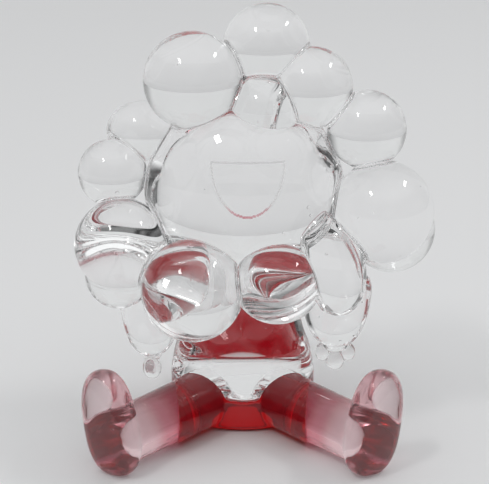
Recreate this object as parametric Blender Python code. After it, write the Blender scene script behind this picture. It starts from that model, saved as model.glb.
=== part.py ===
"""Seated collectible figure cast in clear and red-tinted resin.

The head is a clear core ringed by ball-shaped curls that meet each other at
flat bonded facets.  The body is a clear bell that stands on a red seat block;
two red legs with upright feet and two clear sleeves with small hands turn on
short pegs.  Millimetres below, scaled to metres when the meshes are made.
Front is -Y, up is +Z, the underside of the seat and the feet rest on Z = 0.
"""
import math
import bpy
import bmesh
from mathutils import Matrix, Vector

MM = 0.001

# ---------------------------------------------------------------- dimensions
AXIS_X = -8.35         # figure's own centre line, so the whole box is centred
AXIS_Y = 26.825
BOND = 0.15            # half of the bond line left between two castings
FIT = 0.35             # radial clearance of a peg in its socket

HEAD_C = (1.0, -6.0, 117.0)
HEAD_SEMI = (49.0, 38.0, 49.0)
HEAD_FLOOR = 72.0      # flat under the head, where the neck stands

# curls: centre, semi-axes, tilt about Y in degrees
CURLS = {
    "curl_top":            ((11.5, -2.0, 187.0), (21.0, 21.0, 20.8), 0),
    "curl_upper_left":     ((-23.5, -16.0, 173.5), (23.3, 23.3, 23.3), 0),
    "curl_left_rear":      ((-47.5, 2.0, 145.0), (19.0, 16.0, 15.0), 0),
    "curl_left":           ((-63.0, -10.0, 127.0), (16.7, 16.7, 16.7), 0),
    "curl_lower_left":     ((-58.0, -26.0, 95.5), (22.7, 22.7, 22.7), 0),
    "curl_chin_left":      ((-23.5, -43.0, 78.5), (24.6, 24.6, 24.6), 0),
    "curl_chin_right":     ((16.5, -44.0, 82.0), (20.8, 19.6, 19.0), 0),
    "curl_lower_right":    ((67.0, -22.0, 111.0), (24.9, 24.9, 24.9), 0),
    "curl_right":          ((59.5, -12.0, 149.0), (19.0, 19.0, 19.0), 0),
    "curl_upper_right":    ((33.0, -10.0, 169.0), (19.6, 19.6, 19.6), 0),
    "curl_brow":           ((10.5, -18.0, 159.7), (16.6, 16.6, 16.6), 0),
    "curl_hanging":        ((41.5, -37.0, 90.0), (16.6, 13.0, 27.0), -16),
    "curl_rear_left":      ((-61.0, -13.4, 76.5), (16.8, 15.5, 17.6), 0),
    "curl_rear_right":     ((75.2, 11.0, 92.0), (22.2, 22.0, 22.0), 0),
}

# bell of the body: height, front, back, half width
BELL = [
    (17.9, -35.0, 24.5, 36.6), (20.5, -34.9, 23.6, 36.5), (24.0, -34.8, 22.2, 36.2),
    (31.0, -34.2, 19.2, 35.2), (38.0, -33.2, 16.2, 33.6), (45.0, -31.4, 13.2, 31.0),
    (51.0, -27.8, 10.6, 29.4), (57.0, -22.0, 8.6, 28.4), (62.5, -18.0, 7.6, 26.6),
    (67.5, -16.4, 7.0, 23.4), (71.7, -16.0, 6.8, 18.6),
]
SEAT_TOP = 17.6
SEAT = [(0.0, -31.0, 21.0, 33.0), (2.5, -33.6, 23.4, 35.6), (8.0, -34.8, 24.5, 36.6),
        (SEAT_TOP, -35.0, 24.5, 36.6)]

LEG_R = 14.6
LEG_Z = 14.4           # the leg axis runs level, its underside is flattened at 0
LEG_TURN = 41.0        # how far each leg splays from straight ahead
LEG_ROOT = (30.0, -37.0)
LEG_LEN = 38.6         # from the root point to the back of the foot
HIP_FACE = (33.0, -35.0)   # point on the flat between seat and leg
HIP_NORMAL = (0.992, -0.124)
FOOT_WIDE, FOOT_THICK, FOOT_TALL = 14.0, 9.6, 25.6    # half sizes of a foot
FOOT_Z = 9.6           # foot centre above the leg axis
FOOT_LEAN = 12.0       # toes lean outwards
HIP_PEG_R = 4.5
HIP_PEG_IN = 11.0

SHOULDER_Z, SHOULDER_Y = 61.0, 6.0
SHOULDER_PEG_R = 3.0
BOSS_R, BOSS_END = 8.6, 31.0   # round stub on the bell that a sleeve turns against
NECK_C = (0.0, -2.5)
NECK_PEG_R = 5.0
NECK_PEG_Z = (58.0, 86.0)

SMILE_TOP_Z, SMILE_DROP, SMILE_HALF = 140.0, 26.0, 17.5

CLEAR = (0.93, 0.94, 0.95, 1.0)
RED = (0.62, 0.03, 0.05, 1.0)
PINK = (0.86, 0.42, 0.46, 1.0)
LIGHT_PINK = (0.92, 0.70, 0.72, 1.0)

for old in list(bpy.data.objects):
    bpy.data.objects.remove(old, do_unlink=True)

scene_coll = bpy.context.scene.collection


# ------------------------------------------------------------------- helpers
def new_empty(name, pos):
    e = bpy.data.objects.new(name, None)
    e.location = at(pos)
    scene_coll.objects.link(e)
    return e


def at(p):
    """Figure millimetres to world metres."""
    return Vector(((p[0] + AXIS_X) * MM, (p[1] + AXIS_Y) * MM, p[2] * MM))


def material(name, colour):
    m = bpy.data.materials.new(name)
    m.use_nodes = True
    b = m.node_tree.nodes["Principled BSDF"]
    b.inputs["Base Color"].default_value = colour
    b.inputs["Roughness"].default_value = 0.06
    b.inputs["Metallic"].default_value = 0.0
    b.inputs["IOR"].default_value = 1.49
    b.inputs["Transmission Weight"].default_value = 0.6
    m.diffuse_color = colour
    return m


def finish(name, bm, colour, parent, smooth=True):
    """Millimetre bmesh in figure axes to a named object hung on its body."""
    bmesh.ops.remove_doubles(bm, verts=bm.verts[:], dist=0.02)
    bmesh.ops.recalc_face_normals(bm, faces=bm.faces[:])
    for v in bm.verts:
        v.co = at(v.co)
    origin = parent.location if parent else Vector((0, 0, 0))
    bmesh.ops.translate(bm, verts=bm.verts[:], vec=-origin)
    me = bpy.data.meshes.new(name)
    bm.to_mesh(me)
    bm.free()
    for p in me.polygons:
        p.use_smooth = smooth and len(p.vertices) < 5
    me.materials.append(material(name + "_resin", colour))
    ob = bpy.data.objects.new(name, me)
    scene_coll.objects.link(ob)
    ob.parent = parent
    return ob


def ball(centre, semi, tilt=0.0, seg=24, rings=12):
    bm = bmesh.new()
    bmesh.ops.create_uvsphere(bm, u_segments=seg, v_segments=rings, radius=1.0)
    bmesh.ops.transform(bm, verts=bm.verts[:], matrix=(
        Matrix.Translation(Vector(centre)) @ Matrix.Rotation(math.radians(tilt), 4, "Y")
        @ Matrix.Diagonal((*semi, 1.0))))
    return bm


def trim(bm, point, normal):
    """Cut away what lies on the side the normal points to and cap it flat."""
    geom = bm.verts[:] + bm.edges[:] + bm.faces[:]
    cut = bmesh.ops.bisect_plane(bm, geom=geom, dist=1e-5, plane_co=Vector(point),
                                 plane_no=Vector(normal).normalized(), clear_outer=True)
    rim = [g for g in cut["geom_cut"] if isinstance(g, bmesh.types.BMEdge)]
    if rim:
        bmesh.ops.contextual_create(bm, geom=rim)
    return bool(rim)


def reach(semi, tilt, u):
    """How far an ellipsoid reaches along the unit vector u."""
    w = Matrix.Rotation(math.radians(-tilt), 3, "Y") @ Vector(u)
    return 1.0 / math.sqrt(sum((w[i] / semi[i]) ** 2 for i in range(3)))


def tube(p, q, r, seg=32, r2=None):
    """Closed cylinder or cone between two points."""
    p, q = Vector(p), Vector(q)
    d = q - p
    bm = bmesh.new()
    bmesh.ops.create_cone(bm, cap_ends=True, segments=seg, radius1=r,
                          radius2=r if r2 is None else r2, depth=d.length)
    rot = d.to_track_quat("Z", "Y").to_matrix().to_4x4()
    bmesh.ops.transform(bm, verts=bm.verts[:], matrix=Matrix.Translation((p + q) / 2) @ rot)
    return bm


def loft(sections, seg=36, top_dome=0.0):
    """Oval sections (z, front, back, half width) joined into a closed solid."""
    bm = bmesh.new()
    loops = []
    for z, front, back, half in sections:
        loop = []
        for i in range(seg):
            a = 2 * math.pi * i / seg
            cy, ry = (front + back) / 2, (back - front) / 2
            loop.append(bm.verts.new((half * math.cos(a), cy + ry * math.sin(a), z)))
        loops.append(loop)
    for lo, hi in zip(loops, loops[1:]):
        for i in range(seg):
            bm.faces.new((lo[i], lo[(i + 1) % seg], hi[(i + 1) % seg], hi[i]))
    bm.faces.new(list(reversed(loops[0])))
    bm.faces.new(loops[-1])
    return bm


def spin_body(profile, centre, half_x, half_y, seg=28):
    """Oval body: profile of (radius factor, z), closed by a point at each end."""
    bm = bmesh.new()
    loops = []
    for f, z in profile:
        if f < 1e-6:
            loops.append([bm.verts.new((centre[0], centre[1], z))])
        else:
            loops.append([bm.verts.new((centre[0] + half_x * f * math.cos(2 * math.pi * i / seg),
                                        centre[1] + half_y * f * math.sin(2 * math.pi * i / seg), z))
                          for i in range(seg)])
    for lo, hi in zip(loops, loops[1:]):
        for i in range(seg):
            j = (i + 1) % seg
            if len(lo) == 1:
                bm.faces.new((lo[0], hi[j], hi[i]))
            elif len(hi) == 1:
                bm.faces.new((lo[i], lo[j], hi[0]))
            else:
                bm.faces.new((lo[i], lo[j], hi[j], hi[i]))
    if len(loops[0]) > 1:
        bm.faces.new(list(reversed(loops[0])))
    if len(loops[-1]) > 1:
        bm.faces.new(loops[-1])
    return bm


def to_object(bm, name):
    bmesh.ops.recalc_face_normals(bm, faces=bm.faces[:])
    me = bpy.data.meshes.new(name)
    bm.to_mesh(me)
    bm.free()
    ob = bpy.data.objects.new(name, me)
    scene_coll.objects.link(ob)
    return ob


def combine(base, tools, operation):
    """Exact booleans on millimetre meshes, returned as one bmesh."""
    ob = to_object(base, "work")
    cutters = [to_object(t, "tool") for t in tools]
    for c in cutters:
        m = ob.modifiers.new("b", "BOOLEAN")
        m.operation, m.solver, m.object = operation, "EXACT", c
    dg = bpy.context.evaluated_depsgraph_get()
    bm = bmesh.new()
    bm.from_mesh(ob.evaluated_get(dg).to_mesh())
    for o in [ob] + cutters:
        bpy.data.objects.remove(o, do_unlink=True)
    bmesh.ops.remove_doubles(bm, verts=bm.verts[:], dist=0.02)
    return bm


# -------------------------------------------------------------------- bodies
torso_body = new_empty("frame_torso", (0, 0, 0))
head_body = new_empty("frame_head", (NECK_C[0], NECK_C[1], HEAD_FLOOR))
arm_body = {s: new_empty("frame_%s_arm" % n, (k * 30.0, SHOULDER_Y, SHOULDER_Z - d))
            for s, n, k, d in (("L", "left", -1, 5.0), ("R", "right", 1, 0.0))}
leg_body = {s: new_empty("frame_%s_leg" % n, (k * HIP_FACE[0], HIP_FACE[1], LEG_Z))
            for s, n, k in (("L", "left", -1), ("R", "right", 1))}

# ---------------------------------------------------------------------- head
parts = {n: (Vector(c), s, t) for n, (c, s, t) in CURLS.items()}
parts["head_core"] = (Vector(HEAD_C), HEAD_SEMI, 0)


def bond_planes(name):
    """Planes where this casting meets each neighbour it would run into."""
    c1, s1, t1 = parts[name]
    planes = []
    for other, (c2, s2, t2) in parts.items():
        if other == name:
            continue
        u = c2 - c1
        d = u.length
        u.normalize()
        r1, r2 = reach(s1, t1, u), reach(s2, t2, u)
        if d < r1 + r2:
            planes.append((c1 + u * ((d * d + r1 * r1 - r2 * r2) / (2 * d) - BOND), u))
    return planes


neck_socket = tube((NECK_C[0], NECK_C[1], HEAD_FLOOR - 5), (NECK_C[0], NECK_C[1], NECK_PEG_Z[1] + FIT),
                   NECK_PEG_R + FIT)
for name in parts:
    c, s, t = parts[name]
    core = name == "head_core"
    bm = ball(c, s, t, 44 if core else 24, 22 if core else 12)
    for point, normal in bond_planes(name):
        trim(bm, point, normal)
    if core:
        trim(bm, (0, 0, HEAD_FLOOR), (0, 0, -1))
        # shallow half-moon recess: a slab with a straight top and a bowed foot
        pts = [(-SMILE_HALF, 0.0), (SMILE_HALF, 0.0)]
        for i in range(1, 12):
            a = math.pi * i / 12
            pts.append((SMILE_HALF * math.cos(a), -SMILE_DROP * math.sin(a)))
        moon = bmesh.new()
        rows = [[moon.verts.new((HEAD_C[0] + 1.5 + x, y, SMILE_TOP_Z + z)) for x, z in pts]
                for y in (-80.0, -30.0)]
        moon.faces.new(rows[0])
        moon.faces.new(list(reversed(rows[1])))
        for i in range(len(pts)):
            j = (i + 1) % len(pts)
            moon.faces.new((rows[0][j], rows[0][i], rows[1][i], rows[1][j]))
        # only a skin of the face is taken: the recess keeps the face's own roundness
        deep = ball(c, tuple(v - 0.8 for v in HEAD_SEMI), 0, 44, 22)
        moon = combine(moon, [deep], "DIFFERENCE")
        bm = combine(bm, [moon, neck_socket], "DIFFERENCE")
    finish(name, bm, CLEAR, head_body)

# ---------------------------------------------------------------------- body
leg_dir = {k: Vector((k * math.sin(math.radians(LEG_TURN)), -math.cos(math.radians(LEG_TURN)), 0))
           for k in (-1, 1)}


def leg_tube(k, back, ahead, r):
    root = Vector((k * LEG_ROOT[0], LEG_ROOT[1], LEG_Z))
    return tube(root - leg_dir[k] * back, root + leg_dir[k] * ahead, r, 36)


def hip_point(k):
    return Vector((k * HIP_FACE[0], HIP_FACE[1], LEG_Z))


def hip_normal(k):
    return Vector((k * HIP_NORMAL[0], HIP_NORMAL[1], 0)).normalized()


def hip_bore(k):
    n = hip_normal(k)
    return tube(hip_point(k) - n * (HIP_PEG_IN + 1), hip_point(k) + n * 4, HIP_PEG_R + FIT)


def grown(sections, by):
    return [(z + (by if n == len(sections) - 1 else -by if n == 0 else 0.0), f - by, b + by, h + by)
            for n, (z, f, b, h) in enumerate(sections)]


bell = loft(BELL)
arm_z = {-1: SHOULDER_Z - 5.0, 1: SHOULDER_Z}
bosses = [tube((k * 8.0, SHOULDER_Y, arm_z[k]), (k * BOSS_END, SHOULDER_Y, arm_z[k]),
               BOSS_R + 1.6, 32, BOSS_R) for k in (-1, 1)]
bell = combine(bell, bosses, "UNION")
cut = [leg_tube(k, 26.0, 24.0, LEG_R + 0.3) for k in (-1, 1)]
cut += [tube((NECK_C[0], NECK_C[1], NECK_PEG_Z[0] - FIT), (NECK_C[0], NECK_C[1], 90), NECK_PEG_R + FIT)]
for k in (-1, 1):
    cut.append(tube((k * 9.6, SHOULDER_Y, arm_z[k]), (k * 60, SHOULDER_Y, arm_z[k]), SHOULDER_PEG_R + FIT))
torso = combine(bell, cut, "DIFFERENCE")
finish("torso_bell", torso, CLEAR, torso_body)

finish("seat_block", loft(SEAT), RED, torso_body)
for word, k in (("left", -1), ("right", 1)):
    thigh = leg_tube(k, 24.0, 40.0, LEG_R)
    trim(thigh, hip_point(k) - hip_normal(k) * BOND, hip_normal(k))
    trim(thigh, (0, 0, 0), (0, 0, -1))
    trim(thigh, (k * 0.6, 0, 0), (-k, 0, 0))
    thigh = combine(thigh, [loft(grown(SEAT, 0.3)), hip_bore(k)], "DIFFERENCE")
    finish(word + "_thigh", thigh, RED, torso_body)

finish("neck_peg", tube((NECK_C[0], NECK_C[1], NECK_PEG_Z[0]), (NECK_C[0], NECK_C[1], NECK_PEG_Z[1]),
                        NECK_PEG_R), CLEAR, torso_body)

# ---------------------------------------------------------------------- legs
for side, word, k in (("L", "left", -1), ("R", "right", 1)):
    d, n = leg_dir[k], hip_normal(k)
    root = Vector((k * LEG_ROOT[0], LEG_ROOT[1], LEG_Z))
    ankle = root + d * (LEG_LEN - 0.3)
    leg = tube(root - d * 26, ankle, LEG_R, 36, LEG_R - 1.2)
    trim(leg, hip_point(k) + n * BOND, -n)
    trim(leg, (0, 0, 0), (0, 0, -1))
    finish(word + "_leg", leg, PINK, leg_body[side])
    # upright foot: a thick rounded slab, sole square to the leg, toe up
    foot_c = root + d * (LEG_LEN + FOOT_THICK - 0.6) + Vector((0, 0, FOOT_Z))
    foot = bmesh.new()
    bmesh.ops.create_uvsphere(foot, u_segments=28, v_segments=14, radius=1.0)
    for v in foot.verts:
        e = 2.6
        f = (abs(v.co.x) ** e + abs(v.co.y) ** e + abs(v.co.z) ** e) ** (1 / e)
        v.co /= f
        taper = 1.0 - 0.10 * v.co.z
        v.co = Vector((v.co.x * FOOT_WIDE * taper, v.co.y * FOOT_THICK, v.co.z * FOOT_TALL))
    turn = (Matrix.Rotation(k * math.radians(LEG_TURN), 4, "Z")
            @ Matrix.Rotation(k * math.radians(FOOT_LEAN), 4, "Y"))
    bmesh.ops.transform(foot, verts=foot.verts[:], matrix=Matrix.Translation(foot_c) @ turn)
    trim(foot, root + d * LEG_LEN, -d)
    trim(foot, (0, 0, 0), (0, 0, -1))
    finish(word + "_foot", foot, LIGHT_PINK, leg_body[side])
    peg = tube(hip_point(k) - n * HIP_PEG_IN, hip_point(k) - n * BOND, HIP_PEG_R)
    finish(word + "_hip_peg", peg, RED, leg_body[side])

# ---------------------------------------------------------------------- arms
SLEEVE = [(0.0, -31.2), (0.30, -30.6), (0.52, -28.4), (0.70, -24.4), (0.84, -18.6), (0.94, -11.0),
          (1.0, -2.0), (0.97, 4.0), (0.80, 8.0), (0.45, 10.2), (0.0, 11.0)]
for side, word, k, z0, xc in (("L", "left", -1, arm_z[-1], -47.1), ("R", "right", 1, arm_z[1], 48.0)):
    body = arm_body[side]
    sleeve = spin_body([(f, z0 + z) for f, z in SLEEVE], (xc, SHOULDER_Y + 2.0), 18.0 if k > 0 else 16.0, 12.6)
    flat_x = k * (BOSS_END + 0.3)
    trim(sleeve, (flat_x, 0, 0), (-k, 0, 0))
    sleeve_floor = z0 - 29.6
    trim(sleeve, (xc, SHOULDER_Y, sleeve_floor), (0, 0, -1))
    peg = tube((k * 10.0, SHOULDER_Y, z0), (k * 40.0, SHOULDER_Y, z0), SHOULDER_PEG_R)
    bore = tube((k * 20.0, SHOULDER_Y, z0), (k * 40.3, SHOULDER_Y, z0), SHOULDER_PEG_R + 0.1)
    sleeve = combine(sleeve, [bore], "DIFFERENCE")
    finish(word + "_sleeve", sleeve, CLEAR, body)
    finish(word + "_shoulder_peg", peg, CLEAR, body)
    # hand: three drop-shaped fingers side by side, turned edge-on on the left
    hx, hy, hz = xc, SHOULDER_Y + 2.0, sleeve_floor - 0.3
    across = Vector((0, 1, 0)) if k < 0 else Vector((1, 0, 0))
    lobes = []
    for off, drop, r in ((-6.6, 5.0, 3.9), (0.0, 9.0, 5.0), (6.6, 5.0, 3.9)):
        c = Vector((hx, hy, hz - drop)) + across * off
        lobes.append(ball(c, (r * 0.98, r * 0.92, r + 1.0), 0, 16, 10))
    wrist = ball((hx, hy, hz - 0.8), (7.2 if k > 0 else 5.2, 5.2 if k > 0 else 7.2, 3.6), 0, 20, 10)
    hand = combine(wrist, lobes, "UNION")
    trim(hand, (hx, hy, hz), (0, 0, 1))
    finish(word + "_hand", hand, CLEAR, body)
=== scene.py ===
"""Seated cast-resin figurine: clear bubble head and bell body on a red seat, red-to-pink legs."""

import math

import bmesh
import bpy
import numpy as np
from mathutils import Matrix, Vector


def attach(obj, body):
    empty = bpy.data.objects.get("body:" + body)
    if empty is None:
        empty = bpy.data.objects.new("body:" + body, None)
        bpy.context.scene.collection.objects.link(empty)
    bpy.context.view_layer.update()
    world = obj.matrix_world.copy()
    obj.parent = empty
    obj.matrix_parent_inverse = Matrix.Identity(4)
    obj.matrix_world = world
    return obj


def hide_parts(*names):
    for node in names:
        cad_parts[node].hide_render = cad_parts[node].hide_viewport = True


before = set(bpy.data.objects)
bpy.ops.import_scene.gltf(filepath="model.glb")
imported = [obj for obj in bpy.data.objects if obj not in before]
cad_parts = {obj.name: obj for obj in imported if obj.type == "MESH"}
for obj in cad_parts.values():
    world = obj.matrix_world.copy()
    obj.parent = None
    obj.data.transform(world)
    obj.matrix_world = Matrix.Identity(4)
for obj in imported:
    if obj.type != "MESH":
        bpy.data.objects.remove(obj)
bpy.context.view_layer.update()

scene = bpy.context.scene
coll = scene.collection

MM = 0.001
AXIS_X, AXIS_Y = -8.35, 26.825
BOND = 0.15
IOR = 1.49

# ------------------------------------------------------------------ camera
TARGET = Vector((-0.00735, 0.026825, 0.0885))
ELEV = math.radians(18.0)
cam_data = bpy.data.cameras.new("camera")
cam_data.sensor_width = 36.0
cam_data.lens = 36.0 * 1400.0 / 489.0
cam_data.clip_start = 0.01
cam = bpy.data.objects.new("camera", cam_data)
cam.location = TARGET + Vector((0.0, -0.7 * math.cos(ELEV), 0.7 * math.sin(ELEV)))
cam.rotation_euler = (math.pi / 2 - ELEV, 0.0, 0.0)
coll.objects.link(cam)
scene.camera = cam


# ------------------------------------------------------------------ helpers
def at(p):
    return Vector(((p[0] + AXIS_X) * MM, (p[1] + AXIS_Y) * MM, p[2] * MM))


def reach(semi, tilt, u):
    w = Matrix.Rotation(math.radians(-tilt), 3, "Y") @ Vector(u)
    return 1.0 / math.sqrt(sum((w[i] / semi[i]) ** 2 for i in range(3)))


def trim(bm, point, normal, flat_layer=None, slot=0):
    """Cut away the side the normal points to; the cap is flagged flat and gets a material slot."""
    geom = bm.verts[:] + bm.edges[:] + bm.faces[:]
    cut = bmesh.ops.bisect_plane(bm, geom=geom, dist=1e-6, plane_co=Vector(point),
                                 plane_no=Vector(normal).normalized(), clear_outer=True)
    rim = [g for g in cut["geom_cut"] if isinstance(g, bmesh.types.BMEdge)]
    if not rim:
        return
    made = bmesh.ops.contextual_create(bm, geom=rim)
    for f in made["faces"]:
        f.material_index = slot
        if flat_layer is not None:
            f[flat_layer] = 1


def tube(p, q, r, seg=96, r2=None):
    p, q = Vector(p), Vector(q)
    d = q - p
    bm = bmesh.new()
    bmesh.ops.create_cone(bm, cap_ends=True, segments=seg, radius1=r,
                          radius2=r if r2 is None else r2, depth=d.length)
    rot = d.to_track_quat("Z", "Y").to_matrix().to_4x4()
    bmesh.ops.transform(bm, verts=bm.verts[:], matrix=Matrix.Translation((p + q) / 2) @ rot)
    return bm


def smooth_rows(rows, steps):
    """Catmull-Rom through rows of numbers, used to round a coarse table of sections."""
    a = np.array(rows, float)
    pad = np.vstack([2 * a[0] - a[1], a, 2 * a[-1] - a[-2]])
    out = []
    for i in range(1, len(pad) - 2):
        p0, p1, p2, p3 = pad[i - 1], pad[i], pad[i + 1], pad[i + 2]
        for s in range(steps):
            t = s / steps
            out.append(0.5 * (2 * p1 + (p2 - p0) * t + (2 * p0 - 5 * p1 + 4 * p2 - p3) * t * t
                              + (3 * p1 - p0 - 3 * p2 + p3) * t ** 3))
    out.append(a[-1])
    return out


def loft(sections, seg=120):
    bm = bmesh.new()
    loops = []
    for z, front, back, half in sections:
        cy, ry = (front + back) / 2, (back - front) / 2
        loops.append([bm.verts.new((half * math.cos(2 * math.pi * i / seg),
                                    cy + ry * math.sin(2 * math.pi * i / seg), z)) for i in range(seg)])
    for lo, hi in zip(loops, loops[1:]):
        for i in range(seg):
            bm.faces.new((lo[i], lo[(i + 1) % seg], hi[(i + 1) % seg], hi[i]))
    bm.faces.new(list(reversed(loops[0])))
    bm.faces.new(loops[-1])
    return bm


def to_object(bm, name):
    bmesh.ops.recalc_face_normals(bm, faces=bm.faces[:])
    me = bpy.data.meshes.new(name)
    bm.to_mesh(me)
    bm.free()
    ob = bpy.data.objects.new(name, me)
    coll.objects.link(ob)
    return ob


def combine(base, tools, operation):
    ob = to_object(base, "work")
    cutters = [to_object(t, "tool") for t in tools]
    for c in cutters:
        m = ob.modifiers.new("b", "BOOLEAN")
        m.operation, m.solver, m.object = operation, "EXACT", c
    dg = bpy.context.evaluated_depsgraph_get()
    bm = bmesh.new()
    bm.from_mesh(ob.evaluated_get(dg).to_mesh())
    for o in [ob] + cutters:
        bpy.data.objects.remove(o, do_unlink=True)
    bmesh.ops.remove_doubles(bm, verts=bm.verts[:], dist=0.005)
    return bm


def melted(bm, voxel=0.7, passes=6):
    """Voxel skin over a joined shape, relaxed so that its inner corners flow like cast resin."""
    ob = to_object(bm, "melt")
    m = ob.modifiers.new("r", "REMESH")
    m.mode, m.voxel_size, m.adaptivity = "VOXEL", voxel, 0.0
    s = ob.modifiers.new("s", "SMOOTH")
    s.factor, s.iterations = 0.5, passes
    dg = bpy.context.evaluated_depsgraph_get()
    out = bmesh.new()
    out.from_mesh(ob.evaluated_get(dg).to_mesh())
    bpy.data.objects.remove(ob, do_unlink=True)
    return out


def piece(name, bm, mats, body, nodes, normals=None, sharp=None):
    """bmesh in figure millimetres to a named piece that rides on its body and stands for its nodes."""
    bm.normal_update()
    loop_normals = None
    if normals is not None:
        loop_normals = normals(bm)
    if sharp is not None:
        lim = math.radians(sharp)
        for e in bm.edges:
            if len(e.link_faces) == 2:
                e.smooth = e.calc_face_angle(0.0) < lim
    for v in bm.verts:
        v.co = at(v.co)
    me = bpy.data.meshes.new(name)
    for f in bm.faces:
        f.smooth = True
    bm.to_mesh(me)
    bm.free()
    for m in mats:
        me.materials.append(m)
    if loop_normals is not None:
        me.normals_split_custom_set(loop_normals)
    ob = bpy.data.objects.new(name, me)
    coll.objects.link(ob)
    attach(ob, body)
    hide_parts(*nodes)
    return ob


# ---------------------------------------------------------------- materials
def resin(name, colour=(1, 1, 1), tint=None, density=0.0, scratch=1.0, wave=1.0, bonded=False, seed=0.0,
          fade=None, frost=0.0):
    """Polished cast resin: soft casting waves, hairline polishing scratches, specks and faint smudges."""
    m = bpy.data.materials.new(name)
    m.use_nodes = True
    nt = m.node_tree
    nt.nodes.clear()
    out = nt.nodes.new("ShaderNodeOutputMaterial")
    if bonded:
        t = nt.nodes.new("ShaderNodeBsdfTransparent")
        t.inputs["Color"].default_value = (1, 1, 1, 1)
        nt.links.new(t.outputs[0], out.inputs["Surface"])
    else:
        b = nt.nodes.new("ShaderNodeBsdfPrincipled")
        b.inputs["Base Color"].default_value = (*colour, 1)
        b.inputs["Transmission Weight"].default_value = 1.0 - frost
        b.inputs["IOR"].default_value = IOR
        b.inputs["Metallic"].default_value = 0.0
        nt.links.new(b.outputs[0], out.inputs["Surface"])
        tc = nt.nodes.new("ShaderNodeTexCoord")
        mp = nt.nodes.new("ShaderNodeMapping")
        mp.inputs["Location"].default_value = (seed, seed * 0.7, -seed)
        nt.links.new(tc.outputs["Object"], mp.inputs["Vector"])

        def noise(scale, detail=2.0, rough=0.5, stretch=None):
            n = nt.nodes.new("ShaderNodeTexNoise")
            n.inputs["Scale"].default_value = scale
            n.inputs["Detail"].default_value = detail
            n.inputs["Roughness"].default_value = rough
            src = mp
            if stretch:
                s = nt.nodes.new("ShaderNodeMapping")
                s.inputs["Scale"].default_value = stretch[0]
                s.inputs["Rotation"].default_value = stretch[1]
                nt.links.new(mp.outputs[0], s.inputs["Vector"])
                src = s
            nt.links.new(src.outputs[0], n.inputs["Vector"])
            return n

        def ramp(src, lo, hi, a=0.0, z=1.0):
            r = nt.nodes.new("ShaderNodeMapRange")
            r.interpolation_type = "SMOOTHSTEP"
            r.inputs["From Min"].default_value = lo
            r.inputs["From Max"].default_value = hi
            r.inputs["To Min"].default_value = a
            r.inputs["To Max"].default_value = z
            nt.links.new(src, r.inputs["Value"])
            return r.outputs[0]

        if fade:
            # base colour graded along a direction: on the legs the dye thins out, deep at the hip, nearly clear at the
            # toe; on the smile edge it is a painted red reflection of the seat at the bottom
            origin, along, stops = fade
            rel = nt.nodes.new("ShaderNodeVectorMath")
            rel.operation = "SUBTRACT"
            rel.inputs[1].default_value = origin
            nt.links.new(tc.outputs["Object"], rel.inputs[0])
            dot = nt.nodes.new("ShaderNodeVectorMath")
            dot.operation = "DOT_PRODUCT"
            dot.inputs[1].default_value = along
            nt.links.new(rel.outputs[0], dot.inputs[0])
            wob = nt.nodes.new("ShaderNodeMath")
            wob.operation = "MULTIPLY_ADD"
            wob.inputs[1].default_value = 0.010
            nt.links.new(noise(45.0, 2.0).outputs["Fac"], wob.inputs[0])
            nt.links.new(dot.outputs["Value"], wob.inputs[2])
            cr = nt.nodes.new("ShaderNodeValToRGB")
            cr.color_ramp.interpolation = "EASE"
            span = stops[-1][0]
            while len(cr.color_ramp.elements) < len(stops):
                cr.color_ramp.elements.new(0.5)
            for el, (at_m, rgb) in zip(cr.color_ramp.elements, stops):
                el.position = at_m / span
                el.color = (*rgb, 1)
            mr = nt.nodes.new("ShaderNodeMapRange")
            mr.inputs["From Min"].default_value = 0.005
            mr.inputs["From Max"].default_value = 0.005 + span
            nt.links.new(wob.outputs[0], mr.inputs["Value"])
            nt.links.new(mr.outputs[0], cr.inputs["Fac"])
            nt.links.new(cr.outputs["Color"], b.inputs["Base Color"])

        # faint smudges where it has been handled
        smudge = ramp(noise(55.0, 3.0).outputs["Fac"], 0.52, 0.74, 0.004, 0.030)
        nt.links.new(smudge, b.inputs["Roughness"])
        # slow casting waves
        wave_n = noise(38.0, 1.0, 0.4)
        bump1 = nt.nodes.new("ShaderNodeBump")
        bump1.inputs["Strength"].default_value = 0.25 * wave
        bump1.inputs["Distance"].default_value = 0.00025
        nt.links.new(wave_n.outputs["Fac"], bump1.inputs["Height"])
        # hairlines: very stretched noise cut to thin lines
        hair = ramp(noise(260.0, 2.0, 0.6, ((1.0, 0.05, 0.12), (0.3, 0.5, 0.9))).outputs["Fac"], 0.70, 0.76)
        bump2 = nt.nodes.new("ShaderNodeBump")
        bump2.inputs["Strength"].default_value = 0.10 * scratch
        bump2.inputs["Distance"].default_value = 0.00005
        nt.links.new(hair, bump2.inputs["Height"])
        nt.links.new(bump1.outputs[0], bump2.inputs["Normal"])
        # specks of dust and tiny nicks
        vor = nt.nodes.new("ShaderNodeTexVoronoi")
        vor.inputs["Scale"].default_value = 130.0
        nt.links.new(mp.outputs[0], vor.inputs["Vector"])
        speck = ramp(vor.outputs["Distance"], 0.045, 0.075, 1.0, 0.0)
        bump3 = nt.nodes.new("ShaderNodeBump")
        bump3.inputs["Strength"].default_value = 0.5 * scratch
        bump3.inputs["Distance"].default_value = 0.0002
        nt.links.new(speck, bump3.inputs["Height"])
        nt.links.new(bump2.outputs[0], bump3.inputs["Normal"])
        nt.links.new(bump3.outputs[0], b.inputs["Normal"])
    if tint:
        v = nt.nodes.new("ShaderNodeVolumeAbsorption")
        v.inputs["Color"].default_value = (*tint, 1)
        v.inputs["Density"].default_value = density
        nt.links.new(v.outputs[0], out.inputs["Volume"])
    return m


clear = resin("clear_resin_polished")
clear_bond = resin("clear_resin_bond", bonded=True)
clear_body = resin("clear_resin_body", seed=0.31)
RED_TINT, RED_DENSITY = (0.972, 0.04, 0.15), 170.0
PINK_TINT, PINK_DENSITY = (0.93, 0.10, 0.20), 7.0
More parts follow.
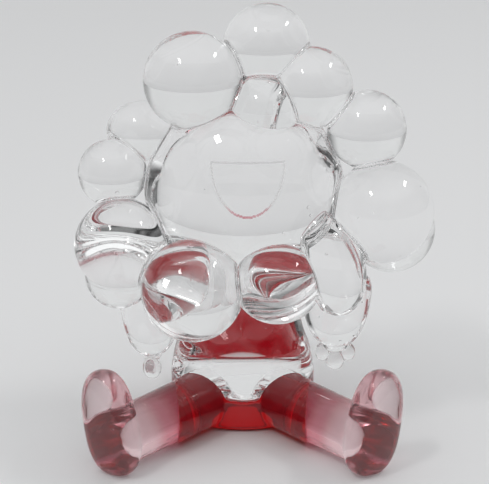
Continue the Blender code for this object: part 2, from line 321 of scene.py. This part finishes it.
# the engraved edge of the smile is left satin; its lowest part has a painted red reflection of the seat below, a red
# base colour fading to white upwards
smile_rim_painted_reflection = resin("clear_resin_satin_edge_painted_reflection", seed=0.71, frost=0.45,
                  fade=((0.0, 0.0, 0.1135), (0.0, 0.0, 1.0), [(0.0, (0.62, 0.06, 0.10)), (0.0035, (0.80, 0.40, 0.44)),
                                                            (0.0075, (0.97, 0.95, 0.95)), (0.02, (0.98, 0.98, 0.98))]))
red = resin("red_resin_polished", colour=(0.86, 0.035, 0.06), frost=0.22, tint=RED_TINT, density=RED_DENSITY, seed=0.13)
red_under = resin("red_resin_satin_top", colour=(1.0, 0.012, 0.03), frost=0.90, tint=RED_TINT,
                  density=RED_DENSITY, seed=0.19)
red_under.node_tree.nodes["Principled BSDF"].inputs["Specular IOR Level"].default_value = 0.05

# --------------------------------------------------------------------- head
HEAD_C, HEAD_SEMI, HEAD_FLOOR = Vector((1.0, -6.0, 117.0)), (49.0, 38.0, 49.0), 72.0
CURLS = {
    "curl_top": ((11.5, -2.0, 187.0), (21.0, 21.0, 20.8), 0),
    "curl_upper_left": ((-23.5, -16.0, 173.5), (23.3, 23.3, 23.3), 0),
    "curl_left_rear": ((-47.5, 2.0, 145.0), (19.0, 16.0, 15.0), 0),
    "curl_left": ((-63.0, -10.0, 127.0), (16.7, 16.7, 16.7), 0),
    "curl_lower_left": ((-58.0, -26.0, 95.5), (22.7, 22.7, 22.7), 0),
    "curl_chin_left": ((-23.5, -43.0, 78.5), (24.6, 24.6, 24.6), 0),
    "curl_chin_right": ((16.5, -44.0, 82.0), (20.8, 19.6, 19.0), 0),
    "curl_lower_right": ((67.0, -22.0, 111.0), (24.9, 24.9, 24.9), 0),
    "curl_right": ((59.5, -12.0, 149.0), (19.0, 19.0, 19.0), 0),
    "curl_upper_right": ((33.0, -10.0, 169.0), (19.6, 19.6, 19.6), 0),
    "curl_brow": ((10.5, -18.0, 159.7), (16.6, 16.6, 16.6), 0),
    "curl_hanging": ((41.5, -37.0, 90.0), (16.6, 13.0, 27.0), -16),
    "curl_rear_left": ((-61.0, -13.4, 76.5), (16.8, 15.5, 17.6), 0),
    "curl_rear_right": ((75.2, 11.0, 92.0), (22.2, 22.0, 22.0), 0),
}
GROOVE = 1.3
SMILE_TOP, SMILE_DROP, SMILE_HALF, SMILE_DEEP = 140.0, 26.0, 17.5, 0.8
parts = {n: (Vector(c), s, t) for n, (c, s, t) in CURLS.items()}
parts["head_core"] = (HEAD_C, HEAD_SEMI, 0)


def smile_depth(p):
    """Depth of the shallow half-moon recess at a point of the face."""
    if p.y > HEAD_C.y:
        return 0.0
    x, z = p.x - HEAD_C.x - 1.5, p.z
    top = SMILE_TOP - z
    e = 1.0 - math.sqrt((x / SMILE_HALF) ** 2 + ((z - SMILE_TOP) / SMILE_DROP) ** 2)
    s = min(top, e * SMILE_HALF)
    t = min(1.0, max(0.0, (s + 0.1) / 1.0))
    return SMILE_DEEP * t * t * (3 - 2 * t)


DRY_JOINT = {"curl_brow", "head_core"}      # this pair touches without glue, so its face acts as a mirror


def bond_planes(name):
    c1, s1, t1 = parts[name]
    for other, (c2, s2, t2) in parts.items():
        if other == name:
            continue
        u = c2 - c1
        d = u.length
        u.normalize()
        r1, r2 = reach(s1, t1, u), reach(s2, t2, u)
        if d < r1 + r2:
            yield c1 + u * ((d * d + r1 * r1 - r2 * r2) / (2 * d) - BOND), u, {name, other} != DRY_JOINT


FILLET = 1.7      # width of the soft shoulder where a casting runs into its neighbour

for name, (c, semi, tilt) in parts.items():
    core = name == "head_core"
    rot = Matrix.Rotation(math.radians(tilt), 3, "Y")
    back = rot.transposed()
    joints = list(bond_planes(name))
    planes = [j[:2] for j in joints]

    def on_surface(p):
        w = back @ (p - c)
        return c + (p - c) / math.sqrt(sum((w[i] / semi[i]) ** 2 for i in range(3)))

    def outward(p):
        w = back @ (p - c)
        return (rot @ Vector([w[i] / semi[i] ** 2 for i in range(3)])).normalized()

    bm = bmesh.new()
    flat = bm.faces.layers.int.new("flat")
    bmesh.ops.create_uvsphere(bm, u_segments=160 if core else 96, v_segments=80 if core else 48, radius=1.0)
    bmesh.ops.transform(bm, verts=bm.verts[:], matrix=Matrix.Translation(c) @ rot.to_4x4() @ Matrix.Diagonal((*semi, 1.0)))
    for _ in range(2):
        # finer mesh where two castings meet
        near = set()
        for f in bm.faces:
            q = f.calc_center_median()
            if any(-1.0 < (point - q).dot(u) < FILLET + 0.8 for point, u in planes):
                near.update(f.edges)
        bmesh.ops.subdivide_edges(bm, edges=list(near), cuts=1, use_grid_fill=True)
        for v in bm.verts:
            v.co = on_surface(v.co)
    for point, normal, glued in joints:
        trim(bm, point, normal, flat, 1 if glued else 0)
    if core:
        trim(bm, (0, 0, HEAD_FLOOR), (0, 0, -1), flat, 1)
        for _ in range(2):
            near = set()
            for f in bm.faces:
                q = f.calc_center_median()
                if f[flat] or q.y > HEAD_C.y:
                    continue
                x, z = q.x - HEAD_C.x - 1.5, q.z
                if abs(x) < SMILE_HALF + 3 and SMILE_TOP - SMILE_DROP - 3 < z < SMILE_TOP + 3:
                    near.update(f.edges)
            bmesh.ops.subdivide_edges(bm, edges=list(near), cuts=1, use_grid_fill=True)
        for v in bm.verts:
            if all(not f[flat] for f in v.link_faces):
                v.co = on_surface(v.co)
    # the bond stops short of the rim, so a hairline groove of air outlines every joint
    caps = [f for f in bm.faces if f[flat] and f.material_index == 1]
    ring = bmesh.ops.inset_individual(bm, faces=caps, thickness=GROOVE, use_even_offset=True)
    for f in ring["faces"]:
        f.material_index = 0
        f[flat] = 1
    if core:
        for f in bm.faces:
            q = f.calc_center_median()
            if not f[flat] and 0.10 * SMILE_DEEP < smile_depth(q) < 0.90 * SMILE_DEEP:
                f.material_index = 2
    bmesh.ops.recalc_face_normals(bm, faces=bm.faces[:])

    def surface_normal(p):
        n = outward(p)
        if core:
            side = n.cross(Vector((0, 0, 1)))
            if side.length > 1e-3:
                side.normalize()
                up = side.cross(n)
                q, step = on_surface(p), 0.12
                gs = (smile_depth(q + side * step) - smile_depth(q - side * step)) / (2 * step)
                gu = (smile_depth(q + up * step) - smile_depth(q - up * step)) / (2 * step)
                n = (n + side * gs + up * gu).normalized()
        for point, u in planes:
            gap = (point - p).dot(u)
            if gap < FILLET:
                t = 1.0 - max(0.0, gap) / FILLET
                n = (n - u * (n.dot(u) * t * t * (3 - 2 * t))).normalized()
        return n

    def loop_normals(b):
        layer = b.faces.layers.int["flat"]
        out = []
        for f in b.faces:
            for l in f.loops:
                out.append(tuple(f.normal) if f[layer] else tuple(surface_normal(l.vert.co)))
        if core:
            for v in b.verts:
                if all(not f[layer] for f in v.link_faces):
                    q = on_surface(v.co)
                    v.co = q - outward(q) * smile_depth(q)
        return out

    piece("face_casting" if core else "head_" + name, bm, [clear, clear_bond] + ([smile_rim_painted_reflection] if core else []),
          "head", [name],
          normals=loop_normals)

# -------------------------------------------------------------------- torso
BELL = [
    (17.9, -35.0, 24.5, 36.6), (20.5, -34.9, 23.6, 36.5), (24.0, -34.8, 22.2, 36.2),
    (31.0, -34.2, 19.2, 35.2), (38.0, -33.2, 16.2, 33.6), (45.0, -31.4, 13.2, 31.0),
    (51.0, -27.8, 10.6, 29.4), (57.0, -22.0, 8.6, 28.4), (62.5, -18.0, 7.6, 26.6),
    (67.5, -16.4, 7.0, 23.4), (71.7, -16.0, 6.8, 18.6),
]
SEAT_TOP = 17.6
SEAT = [(0.0, -31.0, 21.0, 33.0), (2.5, -33.6, 23.4, 35.6), (8.0, -34.8, 24.5, 36.6),
        (SEAT_TOP, -35.0, 24.5, 36.6)]
LEG_R, LEG_Z, LEG_TURN, LEG_ROOT, LEG_LEN = 14.6, 14.4, 41.0, (30.0, -37.0), 38.6
HIP_FACE, HIP_NORMAL = (33.0, -35.0), (0.992, -0.124)
FOOT_WIDE, FOOT_THICK, FOOT_TALL, FOOT_Z, FOOT_LEAN = 14.0, 9.6, 25.6, 9.6, 12.0
SHOULDER_Y, BOSS_R, BOSS_END = 6.0, 8.6, 31.0
ARM_Z = {-1: 56.0, 1: 61.0}
leg_dir = {k: Vector((k * math.sin(math.radians(LEG_TURN)), -math.cos(math.radians(LEG_TURN)), 0)) for k in (-1, 1)}


def leg_tube(k, behind, ahead, r):
    root = Vector((k * LEG_ROOT[0], LEG_ROOT[1], LEG_Z))
    return tube(root - leg_dir[k] * behind, root + leg_dir[k] * ahead, r)


def hip_point(k):
    return Vector((k * HIP_FACE[0], HIP_FACE[1], LEG_Z))


def hip_normal(k):
    return Vector((k * HIP_NORMAL[0], HIP_NORMAL[1], 0)).normalized()


SADDLE = 6.2      # how far the seat's top rises towards the sides
seat = loft(smooth_rows(SEAT, 6))
for v in seat.verts:
    lift = SADDLE * (v.co.x / 36.0) ** 2 * max(0.0, v.co.z / SEAT_TOP) ** 2
    v.co.z += lift
    v.co.x *= 1.0 - 0.0017 * lift
seat = combine(seat, [leg_tube(k, 24.0, 40.0, LEG_R) for k in (-1, 1)], "UNION")
seat = melted(seat, 0.7, 22)


def swollen(source, by):
    grown = source.copy()
    grown.normal_update()
    for v, n in [(v, v.normal.copy()) for v in grown.verts]:
        v.co += n * by
    return grown


bell = loft(smooth_rows([(10.0, -34.6, 24.1, 36.2)] + BELL, 7))
bosses = [tube((k * 21.0, SHOULDER_Y - 1.0, ARM_Z[k]), (k * BOSS_END, SHOULDER_Y, ARM_Z[k]), BOSS_R + 0.6, 96, BOSS_R)
          for k in (-1, 1)]
bell = combine(bell, bosses, "UNION")
bell = combine(bell, [swollen(seat, 0.3)], "DIFFERENCE")
bell.normal_update()
for f in bell.faces:
    if f.normal.z > 0.99 and f.calc_center_median().z > 71.0:
        f.material_index = 1      # the neck face is wetted out against the head
piece("bell_body", bell, [clear_body, clear_bond], "torso", ["torso_bell", "neck_peg"], sharp=25)
for k in (-1, 1):
    trim(seat, hip_point(k) - hip_normal(k) * BOND, hip_normal(k))
trim(seat, (0, 0, 0.02), (0, 0, -1))
seat.normal_update()
for f in seat.faces:
    q = f.calc_center_median()
    if f.normal.z > 0.6 and q.z > 15.0 and (q.x / 35.6) ** 2 + ((q.y + 5.2) / 28.8) ** 2 < 1.0:
        f.material_index = 1      # hidden under the bell: satin red, seen only through the clear casting
piece("red_seat", seat, [red, red_under], "torso", ["seat_block", "left_thigh", "right_thigh"], sharp=35)

# --------------------------------------------------------------------- legs
for word, k in (("left", -1), ("right", 1)):
    d, n = leg_dir[k], hip_normal(k)
    root = Vector((k * LEG_ROOT[0], LEG_ROOT[1], LEG_Z))
    leg = tube(root - d * 26, root + d * (LEG_LEN + 4.0), LEG_R, 96, LEG_R - 1.2)
    foot_c = root + d * (LEG_LEN + FOOT_THICK - 0.6) + Vector((0, 0, FOOT_Z))
    foot = bmesh.new()
    bmesh.ops.create_uvsphere(foot, u_segments=96, v_segments=48, radius=1.0)
    for v in foot.verts:
        e = 2.6
        f = (abs(v.co.x) ** e + abs(v.co.y) ** e + abs(v.co.z) ** e) ** (1 / e)
        v.co /= f
        taper = 1.0 - 0.10 * v.co.z
        v.co = Vector((v.co.x * FOOT_WIDE * taper, v.co.y * FOOT_THICK, v.co.z * FOOT_TALL))
    turn = (Matrix.Rotation(k * math.radians(LEG_TURN), 4, "Z")
            @ Matrix.Rotation(k * math.radians(FOOT_LEAN), 4, "Y"))
    bmesh.ops.transform(foot, verts=foot.verts[:], matrix=Matrix.Translation(foot_c) @ turn)
    trim(foot, root + d * LEG_LEN, -d)
    whole = combine(leg, [foot], "UNION")
    whole = melted(whole, 0.6, 14)
    trim(whole, hip_point(k) + n * BOND, -n)
    trim(whole, (0, 0, 0), (0, 0, -1))
    hip = at(hip_point(k))
    rose = resin("rose_resin_" + word, tint=PINK_TINT, density=PINK_DENSITY, seed=0.47 + 0.2 * k, frost=0.05,
                 fade=(tuple(hip), tuple(d), [(0.0, (0.50, 0.03, 0.06)), (0.009, (0.66, 0.17, 0.22)),
                                              (0.022, (0.95, 0.72, 0.75)), (0.046, (0.99, 0.955, 0.96))]))
    piece(word + "_leg_casting", whole, [rose], word + "_leg",
          [word + "_leg", word + "_foot", word + "_hip_peg"], sharp=40)

# --------------------------------------------------------------------- arms
SLEEVE = [(0.0, -31.2), (0.30, -30.6), (0.52, -28.4), (0.70, -24.4), (0.84, -18.6), (0.94, -11.0),
          (1.0, -2.0), (0.97, 4.0), (0.80, 8.0), (0.45, 10.2), (0.0, 11.0)]
for word, k, xc in (("left", -1, -47.1), ("right", 1, 48.0)):
    z0 = ARM_Z[k]
    half_x, half_y, cy = (18.0 if k > 0 else 16.0), 12.6, SHOULDER_Y + 2.0
    rows = smooth_rows(SLEEVE, 6)
    seg = 96
    bm = bmesh.new()
    loops = []
    for f, z in rows:
        if f < 1e-3:
            loops.append([bm.verts.new((xc, cy, z0 + z))])
        else:
            loops.append([bm.verts.new((xc + half_x * f * math.cos(2 * math.pi * i / seg),
                                        cy + half_y * f * math.sin(2 * math.pi * i / seg), z0 + z))
                          for i in range(seg)])
    for lo, hi in zip(loops, loops[1:]):
        for i in range(seg):
            j = (i + 1) % seg
            if len(lo) == 1:
                bm.faces.new((lo[0], hi[j], hi[i]))
            elif len(hi) == 1:
                bm.faces.new((lo[i], lo[j], hi[0]))
            else:
                bm.faces.new((lo[i], lo[j], hi[j], hi[i]))
    trim(bm, (k * (BOSS_END + 0.3), 0, 0), (-k, 0, 0))
    floor_z = z0 - 29.6
    trim(bm, (xc, SHOULDER_Y, floor_z), (0, 0, -1))
    bmesh.ops.recalc_face_normals(bm, faces=bm.faces[:])
    piece(word + "_sleeve_casting", bm, [clear_body], word + "_arm",
          [word + "_sleeve", word + "_shoulder_peg"], sharp=30)
    hz = floor_z - 0.3
    across = Vector((0, 1, 0)) if k < 0 else Vector((1, 0, 0))
    lobes = []
    for off, drop, r in ((-6.6, 5.0, 3.9), (0.0, 9.0, 5.0), (6.6, 5.0, 3.9)):
        b = bmesh.new()
        bmesh.ops.create_uvsphere(b, u_segments=64, v_segments=32, radius=1.0)
        bmesh.ops.transform(b, verts=b.verts[:], matrix=Matrix.Translation(
            Vector((xc, cy, hz - drop)) + across * off) @ Matrix.Diagonal((r * 0.98, r * 0.92, r + 1.0, 1.0)))
        lobes.append(b)
    wrist = bmesh.new()
    bmesh.ops.create_uvsphere(wrist, u_segments=64, v_segments=32, radius=1.0)
    wide, deep = (7.2, 5.2) if k > 0 else (5.2, 7.2)
    bmesh.ops.transform(wrist, verts=wrist.verts[:], matrix=Matrix.Translation((xc, cy, hz - 0.8))
                        @ Matrix.Diagonal((wide, deep, 3.6, 1.0)))
    hand = combine(wrist, lobes, "UNION")
    hand = melted(hand, 0.35, 5)
    trim(hand, (xc, cy, hz), (0, 0, 1))
    piece(word + "_hand_casting", hand, [clear_body], word + "_arm", [word + "_hand"], sharp=40)

# -------------------------------------------------------------------- floor
floor_me = bpy.data.meshes.new("studio_floor")
floor_me.from_pydata([(-4, -4, -0.0004), (4, -4, -0.0004), (4, 4, -0.0004), (-4, 4, -0.0004)], [], [(0, 1, 2, 3)])
floor = bpy.data.objects.new("studio_floor", floor_me)
coll.objects.link(floor)
fm = bpy.data.materials.new("pale_paper")
fm.use_nodes = True
fb = fm.node_tree.nodes["Principled BSDF"]
fb.inputs["Base Color"].default_value = (0.87, 0.865, 0.87, 1)
fb.inputs["Roughness"].default_value = 0.75
fb.inputs["Specular IOR Level"].default_value = 0.25
floor_me.materials.append(fm)

# ------------------------------------------------------------------- lights
world = bpy.data.worlds.new("studio")
scene.world = world
world.use_nodes = True
wt = world.node_tree
wt.nodes.clear()
w_out = wt.nodes.new("ShaderNodeOutputWorld")
w_bg = wt.nodes.new("ShaderNodeBackground")
w_bg.inputs["Strength"].default_value = 0.75
wt.links.new(w_bg.outputs[0], w_out.inputs["Surface"])
w_tc = wt.nodes.new("ShaderNodeTexCoord")
w_xyz = wt.nodes.new("ShaderNodeSeparateXYZ")
wt.links.new(w_tc.outputs["Generated"], w_xyz.inputs[0])


def w_range(src, lo, hi, a, z):
    r = wt.nodes.new("ShaderNodeMapRange")
    r.interpolation_type = "SMOOTHSTEP"
    for key, val in (("From Min", lo), ("From Max", hi), ("To Min", a), ("To Max", z)):
        r.inputs[key].default_value = val
    wt.links.new(src, r.inputs["Value"])
    return r.outputs[0]


def w_math(op, a, b):
    n = wt.nodes.new("ShaderNodeMath")
    n.operation = op
    for i, v in enumerate((a, b)):
        if isinstance(v, (int, float)):
            n.inputs[i].default_value = v
        else:
            wt.links.new(v, n.inputs[i])
    return n.outputs[0]


# a pale backdrop, a brighter ceiling, and the dim room with its shelves behind the viewer
front = w_range(w_xyz.outputs["Y"], 0.05, -0.55, 0.0, 1.0)
low = w_range(w_xyz.outputs["Z"], 0.45, 0.80, 1.0, 0.0)
room = w_math("MULTIPLY", front, low)
sides = w_math("ABSOLUTE", w_xyz.outputs["X"], 0.0)
flank = w_math("MULTIPLY", w_range(sides, 0.62, 0.92, 0.0, 0.68), low)
ahead = w_range(w_xyz.outputs["Y"], 0.30, -0.10, 0.0, 1.0)
ceiling = w_math("ADD", 0.92, w_math("MULTIPLY", w_range(w_xyz.outputs["Z"], 0.45, 0.85, 0.0, 0.43), ahead))
w_noise = wt.nodes.new("ShaderNodeTexNoise")
w_noise.inputs["Scale"].default_value = 3.2
w_noise.inputs["Detail"].default_value = 3.0
wt.links.new(w_tc.outputs["Generated"], w_noise.inputs["Vector"])
clutter = w_range(w_noise.outputs["Fac"], 0.42, 0.60, 1.0, 0.72)
dim = w_math("SUBTRACT", 1.0, w_math("MULTIPLY", room, clutter))
level = w_math("MULTIPLY", w_math("MULTIPLY", ceiling, dim), w_math("SUBTRACT", 1.0, flank))
w_col = wt.nodes.new("ShaderNodeCombineColor")
wt.links.new(w_math("MULTIPLY", level, 0.985), w_col.inputs[0])
wt.links.new(level, w_col.inputs[1])
wt.links.new(w_math("MULTIPLY", level, 1.005), w_col.inputs[2])
wt.links.new(w_col.outputs[0], w_bg.inputs["Color"])


def panel(name, where, size, power, aim=(0, 0, 0.1)):
    la = bpy.data.lights.new(name, "AREA")
    la.shape = "RECTANGLE"
    la.size, la.size_y = size
    la.energy = power
    lo = bpy.data.objects.new(name, la)
    lo.location = where
    z = (Vector(where) - Vector(aim)).normalized()
    y = Vector((0, 1, 0))
    x = y.cross(z).normalized()
    y = z.cross(x)
    lo.rotation_euler = Matrix((x, y, z)).transposed().to_euler()
    coll.objects.link(lo)
    return lo


panel("panel_left", (-0.84, -0.84, 1.70), (0.17, 0.42), 4.2)
panel("panel_right", (1.28, 0.20, 1.65), (0.15, 0.55), 4.2)

scene.view_settings.view_transform = "Standard"
scene.view_settings.look = "None"
c = scene.cycles
c.max_bounces = 28
c.transmission_bounces = 28
c.glossy_bounces = 16
c.diffuse_bounces = 3
c.transparent_max_bounces = 48
c.volume_bounces = 0
c.caustics_reflective = True
c.caustics_refractive = True
c.sample_clamp_indirect = 5.0
c.use_denoising = True
